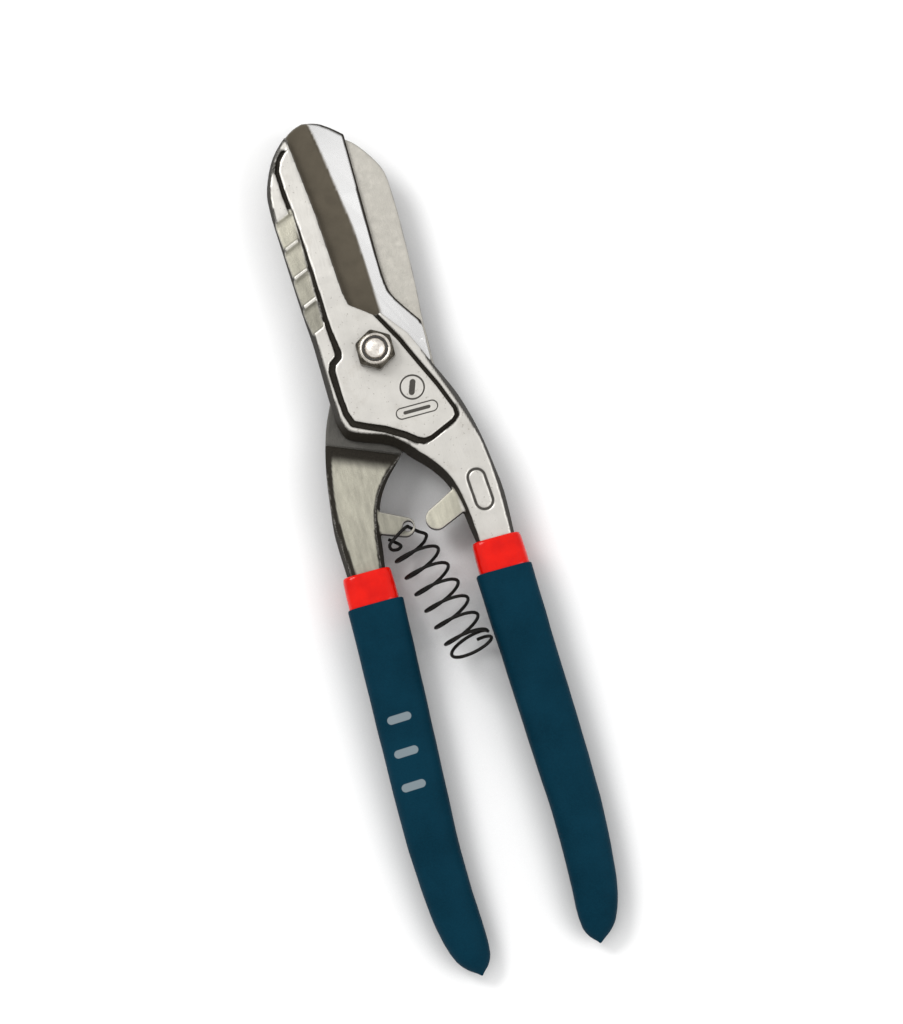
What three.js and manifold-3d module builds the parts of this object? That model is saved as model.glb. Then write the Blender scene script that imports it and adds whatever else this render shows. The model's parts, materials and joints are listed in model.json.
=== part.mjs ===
// Hand snips for sheet metal: two forged halves on one pivot bolt with a lock nut,
// a loose return spring hooked in a lug, and two-colour dipped grips.
//
// Frame: millimetres, +Z up, the tool lying flat with its blades towards +Y.
// The origin is on the pivot axis, in the outer face of the bolt head.
// Both halves come from one pattern: the back half is the pattern turned over about Y.

import * as THREE from 'three';
import { mergeVertices } from 'three/addons/utils/BufferGeometryUtils.js';
import { ConvexGeometry } from 'three/addons/geometries/ConvexGeometry.js';
import Module from 'manifold-3d';

const wasm = await Module();
wasm.setup();

// ---- driving sizes -------------------------------------------------------------

const JAW_LENGTH = 72; // pivot to the blade tip
const HEEL_DEPTH = 30; // pivot to the crotch between the shanks
const SHANK_LENGTH = 62; // pivot to the mouth of the red sleeves
const HANDLE_LENGTH = 183.6; // pivot to the end of the grips
const HALF_HEAD = 17; // pivot to the side of the head
const HANDLE_X = 19.6; // pivot axis to the handle's centre at the sleeve mouth

const HEAD_THICKNESS = 7.6; // lap face to the raised panel, on one half
const TIP_THICKNESS = 5.2; // the same at the blade tip
const SHANK_HALF_THICKNESS = 4.25;
const RIM_DROP = 0.6; // rim below the panel
const GROOVE_DROP = 1.5; // groove floor below the panel
const BLADE_DROP = 3.2; // ground blade below the panel, where its bevel starts
const CHANNEL_DROP = 3.6; // blade channel floor below the panel
const SIDE_DRAFT = 2.6; // how far the forged side slopes out over the head's thickness
const SIDE_BAND = 0.6; // half height of the upright band the two side slopes meet in

const EDGE_LAND = 1.3; // blade thickness left at the cutting edge
const FRONT_EDGE_X = 8; // cutting edge of the front half past the pivot axis
const BACK_EDGE_X = 3; // the same on the back half

const LAP_GAP = 0.3; // between the two lap faces
const FIT_GAP = 0.3; // between pieces that rest on each other
const THREAD_GAP = 0.15; // bolt to insert, insert to nut

const STEP_DISTANCE = 28.7; // pivot axis to the step where the lap ends
const STEP_ANGLE = 22.4; // degrees, the step's slant
const STEP_HEIGHT = 0.7;
const RAMP_LENGTH = 10;
const RAMP_DEPTH = 3.1;

const BOLT_RADIUS = 2.9;
const BOLT_HEAD_FLATS = 10;
const BOLT_HEAD_HEIGHT = 4;
const NUT_FLATS = 10.6;
const NUT_HEX_HEIGHT = 4.4;
const NUT_COLLAR_RADIUS = 4.6;
const NUT_COLLAR_HEIGHT = 1.5;
const INSERT_WALL = 0.65;
const INSERT_HEIGHT = 1.9;
const BOLT_DOME_HEIGHT = 0.9;
const BOLT_PROUD = 0.2; // bolt past the nut's top, under the dome
const NUT_CHAMFER = 1.2; // height of the chamfer on the hexagon's corners
const COLLAR_CHAMFER = 0.5;
const INSERT_SUNK = 0.15; // the nylon ring's face below the nut's top

const BLADE_ROOT_WIDTH = 7.5; // cutting edge to the end of the curved root

const NOTCH_COUNT = 4;
const NOTCH_PITCH = 9.17;
const NOTCH_LENGTH = 6.9;
const NOTCH_DEPTH = 1.2;
const NOTCH_TOP_Y = 43.5; // pivot to the first notch
const NOTCH_SLANT = 3.4; // rise of a notch from its outer to its inner end
const NOTCH_RUN_IN = 1.2; // length of the steep upper end of a notch
const NOTCH_RUN_OUT = 0.3; // length past the notch in which its floor comes up

const OVAL_WIDTH = 5.9; // long ring pressed into the shank's face
const OVAL_LENGTH = 12.9;
const OVAL_LINE = 0.8;
const OVAL_DEPTH = 0.5;
const OVAL_Y = 47;
const OVAL_LEAN = 4; // degrees
const OVAL_ASIDE = 0.6; // from the handle's centre towards the pivot axis

const LUG_HALF_THICKNESS = 2.2;
const LUG_Y = 51.6; // pivot axis to the lugs' tips and the eye
const LUG_ROOT_X = 13;
const PEG_LUG = { x: 4.5, radius: 3.3, rise: 8 };
const EYE_LUG = { x: 5, radius: 2.9, rise: 7.2 };
const EYE_X = 4.2;
const EYE_RADIUS = 1.6;

const SLEEVE_WALL = 1;
const GRIP_WALL = 1.3;
const GRIP_HALF_WIDTH = 8.2; // at the grip's mouth
const SHANK_HALF_WIDTH = 5.75; // at the sleeve's mouth
const SHANK_FACE_INSET = 1.2; // how much narrower the shank's faces are there, each side
const HANDLE_FLATNESS = 0.8; // thickness of a handle section over its width
const SLEEVE_SHOWN = 9.2; // length of red sleeve left bare
const SLEEVE_LIP = 0.3; // chamfer at the sleeve's mouth
const MOUTH_LAP = 0.3; // how far the sleeve reaches over the end of the bare shank
const BORE_RUN = 1.5; // straight bore past the end of the shank's faces
const TANG_SHORT = 14; // end of the grip to the end of the tang
const END_ROUND = 12; // length over which a handle's end draws in
const HANDLE_SQUARENESS = 4; // exponent of the rounded-square section

const SPRING_RADIUS = 6.3; // to the wire's centre
const WIRE_RADIUS = 0.5;
const SPRING_PITCH = 5.76;
const SPRING_TURNS = 6;
const END_TURNS = 1.2;
const END_PITCH = 2;
const END_TILT = 3.2; // how far the end turn leans along the axis, each side
const SPRING_LEAN = 15.1; // degrees from -Y towards +X
const SPRING_RISE = 8; // degrees the axis climbs towards the far end
const SPRING_START = [-4.95, -56.3]; // the spring's axis where its first turn starts

// ---- worked-out sizes ----------------------------------------------------------

const LAP_Z = LAP_GAP / 2;
const SEAT_Z = HEAD_THICKNESS + FIT_GAP; // where the bolt head and the nut bear
const SHEAR_Z = SEAT_Z + BOLT_HEAD_HEIGHT; // height of the plane the blades share
const BORE_RADIUS = BOLT_RADIUS + FIT_GAP;
const SHANK_FACE_X = SHANK_HALF_WIDTH - SHANK_FACE_INSET;
const SHANK_TOP_X = SHANK_FACE_X - sideSlope(SHANK_HALF_THICKNESS);
const INSERT_INNER = BOLT_RADIUS + THREAD_GAP;
const INSERT_OUTER = INSERT_INNER + INSERT_WALL;
const NUT_TOP_Z = SEAT_Z + NUT_HEX_HEIGHT + NUT_COLLAR_HEIGHT;
const FAR = 300; // longer than anything here, for cutters

// ---- helpers -------------------------------------------------------------------

const deg = THREE.MathUtils.degToRad;
const points2 = (list) => list.map(([x, y]) => new THREE.Vector2(x, y));
const smooth = (list, count) => new THREE.SplineCurve(points2(list)).getPoints(count);

// How far the forged side has sloped out, at a height, from its outline at full thickness.
function sideSlope(z) {
  return SIDE_DRAFT * (HEAD_THICKNESS - z) / (HEAD_THICKNESS - SIDE_BAND);
}

function toSolid(geometry) {
  geometry.deleteAttribute('normal');
  geometry.deleteAttribute('uv');
  const merged = mergeVertices(geometry, 1e-4);
  const corners = merged.index.array;
  const triangles = [];
  for (let i = 0; i < corners.length; i += 3) {
    const [a, b, c] = corners.slice(i, i + 3);
    if (a !== b && b !== c && c !== a) triangles.push(a, b, c);
  }
  return new wasm.Manifold(new wasm.Mesh({
    numProp: 3,
    vertProperties: merged.attributes.position.array,
    triVerts: Uint32Array.from(triangles),
  }));
}

function toGeometry(solid) {
  const mesh = solid.getMesh();
  const geometry = new THREE.BufferGeometry();
  geometry.setAttribute('position', new THREE.BufferAttribute(mesh.vertProperties, 3));
  geometry.setIndex(new THREE.BufferAttribute(mesh.triVerts, 1));
  geometry.computeVertexNormals();
  return geometry;
}

// A prism of a plan outline between two heights.
function prism(outline, low, high) {
  const shape = new THREE.Shape(outline);
  const geometry = new THREE.ExtrudeGeometry(shape, { depth: high - low, bevelEnabled: false });
  return toSolid(geometry.translate(0, 0, low));
}

// A prism of a profile in (distance along direction, height), as wide as the tool.
function profilePrism(profile, direction) {
  const shape = new THREE.Shape(points2(profile));
  const geometry = new THREE.ExtrudeGeometry(shape, { depth: FAR, bevelEnabled: false });
  const up = new THREE.Vector3(0, 0, 1);
  const across = new THREE.Vector3().crossVectors(direction, up);
  geometry.translate(0, 0, -FAR / 2);
  geometry.applyMatrix4(new THREE.Matrix4().makeBasis(direction, up, across));
  return toSolid(geometry);
}

function hull(corners) {
  return toSolid(new ConvexGeometry(corners.map((c) => new THREE.Vector3(...c))));
}

function drum(radius, low, high, sides = 32) {
  const geometry = new THREE.CylinderGeometry(radius, radius, high - low, sides);
  geometry.rotateX(Math.PI / 2);
  return toSolid(geometry.translate(0, 0, (low + high) / 2));
}

// A body of revolution about Z from (radius, height) points.
function turned(profile, sides = 32) {
  const geometry = new THREE.LatheGeometry(points2(profile), sides);
  return toSolid(geometry.rotateX(Math.PI / 2));
}

// ---- outlines of the pattern ---------------------------------------------------
// The pattern is the front half: its blade left of the pivot axis, its shank right of it.
// Stations are fractions of the jaw's length, the heel's depth or the shank's length.

const onJaw = ([u, v]) => [u * HALF_HEAD, v * JAW_LENGTH];
const onHeel = ([u, v]) => [u * HALF_HEAD, -v * HEEL_DEPTH];
const onShank = ([offset, v]) => [HANDLE_X + offset, -v * SHANK_LENGTH];

const FRONT_BLADE = {
  edgeX: FRONT_EDGE_X,
  edgeTop: 0.915,
  waist: 0,
  tip: [[0.13, 0.978], [-0.19, 1]],
  spine: [[-0.45, 0.975], [-0.83, 0.89], [-1.07, 0.77], [-1.12, 0.67], [-1.1, 0.52], [-1.05, 0.25]],
};
const BACK_BLADE = {
  edgeX: BACK_EDGE_X,
  edgeTop: 0.88,
  waist: 0.06, // how much narrower the head is beside the pivot, in half heads
  tip: [[0, 0.925], [-0.3, 0.92]],
  spine: [[-0.56, 0.88], [-0.77, 0.82], [-0.96, 0.74], [-1.01, 0.66], [-1.02, 0.5], [-0.99, 0.25]],
};

// Widest outline of a half, where its side slopes meet.
function silhouette(blade) {
  const spine = [...blade.tip.slice(-1), ...blade.spine];
  const back = smooth([
    ...[...spine, [-1.01 + blade.waist, 0.11], [-1 + blade.waist, 0]].map(onJaw),
    ...[[-0.995 + blade.waist, 0.27], [-0.98, 0.57]].map(onHeel),
  ], 40);
  const heel = smooth([
    ...[[-0.98, 0.57], [-0.88, 0.73], [-0.61, 0.81], [-0.25, 0.887], [-0.04, 0.97]].map(onHeel),
    ...[[-16.4, 0.544], [-12.4, 0.618], [-9.2, 0.715], [-7.2, 0.85]].map(onShank),
    ...[[-SHANK_HALF_WIDTH, 0.99], [-SHANK_HALF_WIDTH + 0.1, 1.01]].map(onShank),
  ], 32);
  const outer = smooth([
    ...[[SHANK_HALF_WIDTH - 0.1, 1.01], [SHANK_HALF_WIDTH, 0.985]].map(onShank),
    ...[[6.1, 0.79], [5.2, 0.66], [4.2, 0.537], [2.6, 0.408]].map(onShank),
    ...[[1.18, 0.593], [1.03, 0.4], [0.89, 0.24]].map(onHeel),
  ], 20);
  const edge = smooth([
    onJaw([0.91, 0.087]),
    [blade.edgeX + 4.1, 0.154 * JAW_LENGTH],
    [blade.edgeX + 1.2, 0.22 * JAW_LENGTH],
    [blade.edgeX + 0.3, 0.275 * JAW_LENGTH],
    [blade.edgeX, 0.36 * JAW_LENGTH],
  ], 12);
  const tip = smooth([[blade.edgeX, blade.edgeTop * JAW_LENGTH], ...blade.tip.map(onJaw)], 6);
  return [...back.slice(1), ...heel.slice(1), ...outer, ...edge, ...tip];
}

// Outline of the ground faces on top, from which the forged side slopes out.
// Past the cutting edge it runs wide, as the edge is ground and has no slope.
function faceOutline(blade) {
  const inset = 0.07;
  const lowered = (v) => sideSlope(topZ(v * JAW_LENGTH)) / HALF_HEAD;
  const spine = [...blade.tip.slice(-1), ...blade.spine]
    .map(([u, v]) => [u + inset + lowered(v), v - 0.005]);
  const back = smooth([
    ...[...spine, [-0.92 + blade.waist, 0.11], [-0.91 + blade.waist, 0]].map(onJaw),
    ...[[-0.9 + blade.waist / 2, 0.3], [-0.87, 0.57]].map(onHeel),
  ], 32);
  const heel = smooth([
    ...[[-0.87, 0.57], [-0.79, 0.675], [-0.57, 0.74], [-0.19, 0.813], [0.05, 0.913]].map(onHeel),
    ...[[-14.8, 0.505], [-10.5, 0.58], [-6.8, 0.68], [-4.6, 0.82], [-SHANK_TOP_X, 1.01]].map(onShank),
  ], 28);
  const outer = smooth([
    ...[[SHANK_TOP_X, 1.01], [3.8, 0.8], [3.3, 0.594], [1.3, 0.42]].map(onShank),
    ...[[0.8, 0.18]].map(onHeel),
  ], 16);
  const wide = blade.edgeX + 4;
  const past = points2([onJaw([1.1, 0]), onJaw([1.1, 0.12]), [wide, 0.3 * JAW_LENGTH], [wide, JAW_LENGTH]]);
  return [...back.slice(1), ...heel.slice(1), ...outer, ...past];
}

// Outline of the raised panel, with the width of the groove beside each point.
function panelOutline() {
  const jaw = [[-0.73, 0.861, 1.2], [-0.79, 0.82, 1.2], [-0.78, 0.74, 1.2], [-0.71, 0.55, 1.2],
    [-0.66, 0.3, 1.2], [-0.635, 0.14, 1.4], [-0.57, 0.036, 1.9]];
  const heel = [[-0.59, -0.02, 1.9], [-0.724, 0.035, 1.9], [-0.76, 0.09, 1.9], [-0.753, 0.323, 1.7],
    [-0.724, 0.513, 1.7], [-0.66, 0.61, 1.8], [-0.476, 0.66, 1.8], [-0.16, 0.737, 1.9], [0.147, 0.843, 1.9],
    [0.328, 0.924, 1.8], [0.433, 0.951, 1.6], [0.548, 0.94, 1.3], [0.958, 0.84, 1.1], [1.035, 0.8, 1.1],
    [1.029, 0.742, 1.1], [0.847, 0.477, 1.2], [0.64, 0.227, 1.2]];
  const top = [[0.418, 0.021, 1.2], [0.124, 0.147, 1.2], [-0.03, 0.176, 0], [-0.24, 0.2125, 0],
    [-0.29, 0.27, 0], [-0.38, 0.615, 0], [-0.506, 0.906, 0], [-0.62, 0.89, 1.2]];
  const place = (list, on) => list.map(([u, v, width]) => [...on([u, v]), width]);
  return [...place(jaw, onJaw), ...place(heel, onHeel), ...place(top, onJaw)];
}

// The outline moved outwards by each point's own width.
function widened(outline) {
  const count = outline.length;
  return outline.map(([x, y, width], i) => {
    const before = outline[(i + count - 1) % count];
    const after = outline[(i + 1) % count];
    const into = new THREE.Vector2(x - before[0], y - before[1]).normalize();
    const out = new THREE.Vector2(after[0] - x, after[1] - y).normalize();
    const side = new THREE.Vector2(into.y + out.y, -into.x - out.x).normalize();
    const spread = Math.max(0.6, side.dot(new THREE.Vector2(into.y, -into.x)));
    return new THREE.Vector2(x, y).addScaledVector(side, width / spread);
  });
}

// Right edge of the blade channel, where the bright bevel starts.
const channelEdge = (blade) => [
  [-0.11, 1], [-0.01, 0.86], [0.1, 0.67], [0.18, 0.53], [0.22, 0.37], [0.235, 0.25], [0.25, 0.152],
].map(onJaw).map(([x, y]) => [x + blade.edgeX - FRONT_EDGE_X, y]);

// ---- heights of the pattern ----------------------------------------------------

const TOP_LINE = [
  [-FAR, SHANK_HALF_THICKNESS + RIM_DROP],
  [-SHANK_LENGTH, SHANK_HALF_THICKNESS + RIM_DROP],
  [-0.93 * HEEL_DEPTH, HEAD_THICKNESS],
  [0.35 * JAW_LENGTH, HEAD_THICKNESS],
  [JAW_LENGTH, TIP_THICKNESS],
  [FAR, TIP_THICKNESS],
];

function topZ(y) {
  const after = TOP_LINE.findIndex(([station]) => station >= y);
  const [y0, z0] = TOP_LINE[after - 1];
  const [y1, z1] = TOP_LINE[after];
  return THREE.MathUtils.mapLinear(y, y0, y1, z0, z1);
}

// Everything above the top line lowered by a drop.
function sky(drop) {
  const line = TOP_LINE.map(([y, z]) => [y, z - drop]);
  return profilePrism([...line, [FAR, FAR], [-FAR, FAR]], new THREE.Vector3(0, 1, 0));
}

// Everything under the lap face, the step and the ramp to the shank's underside.
function underside() {
  const angle = deg(STEP_ANGLE);
  const towardsShank = new THREE.Vector3(Math.sin(angle), -Math.cos(angle), 0);
  return profilePrism([
    [-FAR, LAP_Z],
    [STEP_DISTANCE, LAP_Z],
    [STEP_DISTANCE, -STEP_HEIGHT],
    [STEP_DISTANCE + RAMP_LENGTH / 2, -RAMP_DEPTH * 0.75],
    [STEP_DISTANCE + RAMP_LENGTH, -RAMP_DEPTH],
    [SHANK_LENGTH, -SHANK_HALF_THICKNESS],
    [FAR, -SHANK_HALF_THICKNESS],
    [FAR, -FAR],
    [-FAR, -FAR],
  ], towardsShank);
}

// ---- cuts and lugs of the pattern ----------------------------------------------

function block(blade) {
  const geometry = new THREE.ExtrudeGeometry(new THREE.Shape(faceOutline(blade)), {
    depth: 2 * SIDE_BAND,
    bevelThickness: HEAD_THICKNESS - SIDE_BAND,
    bevelSize: SIDE_DRAFT,
    bevelSegments: 1,
  });
  const sloped = toSolid(geometry.translate(0, 0, -SIDE_BAND));
  return sloped.intersect(prism(silhouette(blade), -HEAD_THICKNESS, HEAD_THICKNESS));
}

// The channel lies right of the panel's edge and left of the bevel's.
function channelCut(blade) {
  const panelEdge = panelOutline().slice(-7, -1).map(([x, y]) => [x, y]);
  const bevelEdge = channelEdge(blade);
  const [low, high] = [panelEdge[0][1], JAW_LENGTH + 5];
  const right = [...panelEdge, [panelEdge[5][0] - 1, high], [FAR, high], [FAR, low]];
  const left = [...bevelEdge, [bevelEdge[6][0], low], [-FAR, low], [-FAR, high], [bevelEdge[0][0], high]];
  return prism(points2(right), 0, FAR)
    .intersect(prism(points2(left), 0, FAR))
    .intersect(sky(CHANNEL_DROP));
}

// Ruled cutters from the channel's edge down to the cutting edge.
function bevelCut(blade) {
  const edge = channelEdge(blade).slice(0, -1);
  const wide = blade.edgeX + 8;
  const section = ([x, y]) => [
    [x, y, topZ(y) - BLADE_DROP],
    [blade.edgeX, y, EDGE_LAND],
    [wide, y, EDGE_LAND],
    [x, y, FAR],
    [wide, y, FAR],
  ];
  const cutters = [[edge[0][0], JAW_LENGTH + 5], ...edge];
  return cutters.slice(1).map((end, i) => hull([...section(cutters[i]), ...section(end)]))
    .reduce((cut, piece) => cut.add(piece));
}

// The ground blade beside the pivot, and the bevel along its curved root.
function bladeRootCut(blade) {
  const edge = channelEdge(blade);
  const level = HEAD_THICKNESS - BLADE_DROP;
  const [x0, y0] = edge[edge.length - 2];
  const root = [blade.edgeX + BLADE_ROOT_WIDTH, 0.087 * JAW_LENGTH];
  const outline = points2([
    edge[edge.length - 1],
    ...[[0.62, 0.04], [0.73, -0.017], [0.84, -0.075], [0.93, -0.115]].map(onJaw),
    [HALF_HEAD * 2, -0.115 * JAW_LENGTH],
    [HALF_HEAD * 2, y0],
    [x0, y0],
  ]);
  const plate = prism(outline, level, FAR);
  const slope = [[x0, y0], [root[0] - 2, root[1] - 6]].map(([x, y]) => [x, y, level]);
  const land = [[blade.edgeX, y0], root].map(([x, y]) => [x, y, EDGE_LAND]);
  const wide = [[x0 + 14, y0], [root[0] + 14, root[1]]].map(([x, y]) => [x, y, EDGE_LAND]);
  const high = [...slope, ...wide].map(([x, y]) => [x, y, FAR]);
  return plate.add(hull([...slope, ...land, ...wide, ...high]));
}

function notchCut(index) {
  const top = NOTCH_TOP_Y - index * NOTCH_PITCH;
  const bottom = top - NOTCH_LENGTH;
  const [start, end] = [top + NOTCH_RUN_IN, bottom - NOTCH_RUN_OUT];
  const above = -5;
  const side = [[start, 0], [top, NOTCH_DEPTH], [bottom, NOTCH_DEPTH / 2],
    [end, 0], [end, above], [start, above]];
  const section = (x, rise) => side.map(([y, depth]) => [
    x, y + rise, topZ(y + rise) - RIM_DROP - depth]);
  return hull([
    ...section(-1.2 * HALF_HEAD, -0.3 * NOTCH_SLANT),
    ...section(-0.735 * HALF_HEAD, 0.7 * NOTCH_SLANT),
  ]);
}

function ovalCut() {
  const slab = (width, length) => {
    const radius = width / 2;
    const straight = length / 2 - radius;
    const shape = new THREE.Shape();
    shape.absarc(0, straight, radius, 0, Math.PI, false);
    shape.absarc(0, -straight, radius, Math.PI, 2 * Math.PI, false);
    const geometry = new THREE.ExtrudeGeometry(shape, {
      depth: FAR,
      bevelEnabled: false,
      curveSegments: 8,
    });
    geometry.rotateZ(deg(OVAL_LEAN));
    return toSolid(geometry.translate(HANDLE_X - OVAL_ASIDE, -OVAL_Y, 0));
  };
  const inside = slab(OVAL_WIDTH - 2 * OVAL_LINE, OVAL_LENGTH - 2 * OVAL_LINE);
  return slab(OVAL_WIDTH, OVAL_LENGTH).subtract(inside).intersect(sky(RIM_DROP + OVAL_DEPTH));
}

// A flat lug from the shank to a round tip.
function lug({ x, radius, rise }) {
  const corners = [];
  for (const z of [-LUG_HALF_THICKNESS, LUG_HALF_THICKNESS]) {
    corners.push([LUG_ROOT_X, -LUG_Y + rise, z], [LUG_ROOT_X, -LUG_Y, z]);
    for (let i = 0; i < 20; i += 1) {
      const angle = (i / 20) * 2 * Math.PI;
      corners.push([x + radius * Math.cos(angle), -LUG_Y + radius * Math.sin(angle), z]);
    }
  }
  return hull(corners);
}

// ---- handles -------------------------------------------------------------------

const GRIP_END = HANDLE_LENGTH;
const GRIP_MOUTH = SHANK_LENGTH + SLEEVE_SHOWN;
const SLEEVE_MOUTH = SHANK_LENGTH - MOUTH_LAP;
const SLEEVE_INSET = GRIP_WALL + FIT_GAP; // grip's skin to the sleeve's
const BORE_INSET = SLEEVE_INSET + SLEEVE_WALL;
const TANG_INSET = BORE_INSET + FIT_GAP;
const TANG_END = GRIP_END - TANG_SHORT;

const handleLine = new THREE.SplineCurve(points2(
  [[0, 0], [0.15, 0.4], [0.44, 1.6], [0.7, 2.4], [0.89, 1.1], [1, -1.2]]));
const gripLine = new THREE.SplineCurve(points2(
  [[0, 1.02], [0.15, 0.955], [0.45, 0.93], [0.7, 0.85], [0.89, 0.77], [1, 0.73]]));

// The spline's height where its first coordinate is t, found by halving.
function valueAt(curve, t) {
  let low = 0;
  let high = 1;
  for (let i = 0; i < 20; i += 1) {
    const middle = (low + high) / 2;
    if (curve.getPoint(middle).x < t) low = middle;
    else high = middle;
  }
  return curve.getPoint(low).y;
}

const alongHandle = (s) => THREE.MathUtils.clamp((s - SHANK_LENGTH) / (GRIP_END - SHANK_LENGTH), 0, 1);
const handleCentre = (s) => HANDLE_X + valueAt(handleLine, alongHandle(s));

// Half width at distance s of a layer inset under the grip's skin, closed at its end.
function layerRadius(s, inset, end) {
  const body = GRIP_HALF_WIDTH * valueAt(gripLine, alongHandle(s)) - inset;
  const near = Math.max(0, 1 - Math.max(0, end - s) / END_ROUND);
  return body * (1 - near ** 2.4) ** 0.6;
}

// Points (half width, distance) along a layer from its closed end back to its mouth.
function layerSide(inset, end, mouth) {
  const side = [];
  for (const back of [0.5, 2, 4.5, 8, 13, 24, 42, 66, 90]) {
    if (end - back > mouth + 4) side.push([layerRadius(end - back, inset, end), end - back]);
  }
  return [[0, end], ...side, [layerRadius(mouth, inset, end), mouth]];
}

// The radius of the handle section whose outline passes a point.
function sectionRadius(x, z) {
  const power = HANDLE_SQUARENESS;
  return (x ** power + (z / HANDLE_FLATNESS) ** power) ** (1 / power);
}

// A lathe body about the handle's line, squared off and flattened.
function handleBody(profile) {
  const geometry = new THREE.LatheGeometry(points2(profile.map(([r, s]) => [r, -s])), 24);
  const position = geometry.attributes.position;
  const squared = (value) => Math.sign(value) * Math.abs(value) ** (2 / HANDLE_SQUARENESS);
  for (let i = 0; i < position.count; i += 1) {
    const s = -position.getY(i);
    const radius = Math.hypot(position.getX(i), position.getZ(i));
    const angle = Math.atan2(position.getZ(i), position.getX(i));
    const x = radius * squared(Number(Math.cos(angle).toFixed(6)));
    const z = radius * HANDLE_FLATNESS * squared(Number(Math.sin(angle).toFixed(6)));
    position.setXYZ(i, handleCentre(s) + x, -s, z);
  }
  return toSolid(geometry);
}

function tang() {
  const start = SHANK_LENGTH - 4;
  return handleBody([...layerSide(TANG_INSET, TANG_END, start), [0, start]]);
}

function sleeve() {
  const skin = layerSide(SLEEVE_INSET, GRIP_END - SLEEVE_INSET, GRIP_MOUTH - FIT_GAP);
  const bore = layerSide(BORE_INSET, TANG_END + FIT_GAP, GRIP_MOUTH).reverse();
  const corner = sectionRadius(SHANK_FACE_X, SHANK_HALF_THICKNESS);
  const mouthBore = Math.max(corner, SHANK_HALF_WIDTH) + FIT_GAP;
  return handleBody([
    ...skin,
    [GRIP_HALF_WIDTH - GRIP_WALL / 2, GRIP_MOUTH - FIT_GAP],
    [mouthBore + SLEEVE_WALL, SLEEVE_MOUTH + 2 * SLEEVE_LIP],
    [mouthBore + SLEEVE_WALL - SLEEVE_LIP, SLEEVE_MOUTH],
    [mouthBore, SLEEVE_MOUTH],
    [mouthBore, SHANK_LENGTH + BORE_RUN],
    ...bore,
  ]);
}

function grip() {
  const skin = layerSide(0, GRIP_END, GRIP_MOUTH);
  const bore = layerSide(GRIP_WALL, GRIP_END - GRIP_WALL, GRIP_MOUTH).reverse();
  return handleBody([...skin, ...bore]);
}

// ---- the two halves ------------------------------------------------------------

function half(blade) {
  const panel = prism(points2(panelOutline().map(([x, y]) => [x, y])), 0, FAR);
  const groove = prism(widened(panelOutline()), 0, FAR).intersect(sky(GROOVE_DROP));
  let body = block(blade)
    .subtract(sky(0))
    .subtract(sky(RIM_DROP).subtract(panel))
    .subtract(groove.subtract(panel))
    .subtract(channelCut(blade))
    .subtract(bevelCut(blade))
    .subtract(bladeRootCut(blade));
  for (let i = 0; i < NOTCH_COUNT; i += 1) body = body.subtract(notchCut(i));
  return body.subtract(ovalCut())
    .subtract(underside())
    .add(tang())
    .subtract(drum(BORE_RADIUS, -FAR, FAR));
}

const frontHalf = () => half(FRONT_BLADE).add(lug(PEG_LUG));

function backHalf() {
  const eye = drum(EYE_RADIUS, -FAR, FAR, 16).translate([EYE_X, -LUG_Y, 0]);
  return half(BACK_BLADE).add(lug(EYE_LUG)).subtract(eye);
}

// ---- pivot ---------------------------------------------------------------------

const hexRadius = (flats) => flats / 2 / Math.cos(Math.PI / 6);

function pivotBolt() {
  const head = drum(hexRadius(BOLT_HEAD_FLATS), -SHEAR_Z, -SEAT_Z, 6);
  const endZ = NUT_TOP_Z + BOLT_PROUD;
  const stem = turned([
    [0, -SEAT_Z - 1],
    [BOLT_RADIUS, -SEAT_Z - 1],
    [BOLT_RADIUS, endZ],
    [BOLT_RADIUS * 0.85, endZ + BOLT_DOME_HEIGHT * 0.55],
    [BOLT_RADIUS * 0.5, endZ + BOLT_DOME_HEIGHT * 0.9],
    [0, endZ + BOLT_DOME_HEIGHT],
  ]);
  return head.add(stem);
}

function lockNut() {
  const hexTop = SEAT_Z + NUT_HEX_HEIGHT;
  const radius = hexRadius(NUT_FLATS);
  const hex = drum(radius, SEAT_Z, hexTop, 6);
  const chamfer = turned([
    [0, SEAT_Z - 1],
    [radius + 1, SEAT_Z - 1],
    [radius + 1, hexTop - NUT_CHAMFER],
    [NUT_FLATS / 2 - 0.5, hexTop],
    [0, hexTop],
  ]);
  const collar = turned([
    [0, SEAT_Z + 1],
    [NUT_COLLAR_RADIUS, SEAT_Z + 1],
    [NUT_COLLAR_RADIUS, NUT_TOP_Z - COLLAR_CHAMFER],
    [NUT_COLLAR_RADIUS - COLLAR_CHAMFER, NUT_TOP_Z],
    [0, NUT_TOP_Z],
  ]);
  const bore = drum(BOLT_RADIUS + THREAD_GAP, -FAR, FAR);
  const pocket = drum(INSERT_OUTER + THREAD_GAP, NUT_TOP_Z - INSERT_HEIGHT - THREAD_GAP, FAR);
  return hex.intersect(chamfer).add(collar).subtract(bore).subtract(pocket);
}

function nutInsert() {
  const ring = drum(INSERT_OUTER, NUT_TOP_Z - INSERT_HEIGHT, NUT_TOP_Z - INSERT_SUNK);
  return ring.subtract(drum(INSERT_INNER, -FAR, FAR));
}

// ---- return spring -------------------------------------------------------------

// The hook round the eye's lug: points from the eye, [x, y, z], with z one where the wire
// clears the lug's face.
const HOOK = [
  [-6.6, -1.8, -1], [-5, -3, -1], [-3.5, -4.7, -0.53], [-4.6, -5.7, 0.06],
  [-6.4, -5.5, 0.56], [-6.6, -4.1, 0.94], [-4.4, -2.4, 1.03], [-2, -0.9, 1],
  [-0.4, -0.1, 0.59], [0, 0, 0], [0.6, -0.3, -0.75], [2.6, -1.8, -1.16], [4.6, -3.3, -1.28],
];
const POINTS_PER_TURN = 14;
const SPRING_FIRST = 2; // the first point on the turns after the hook

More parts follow.
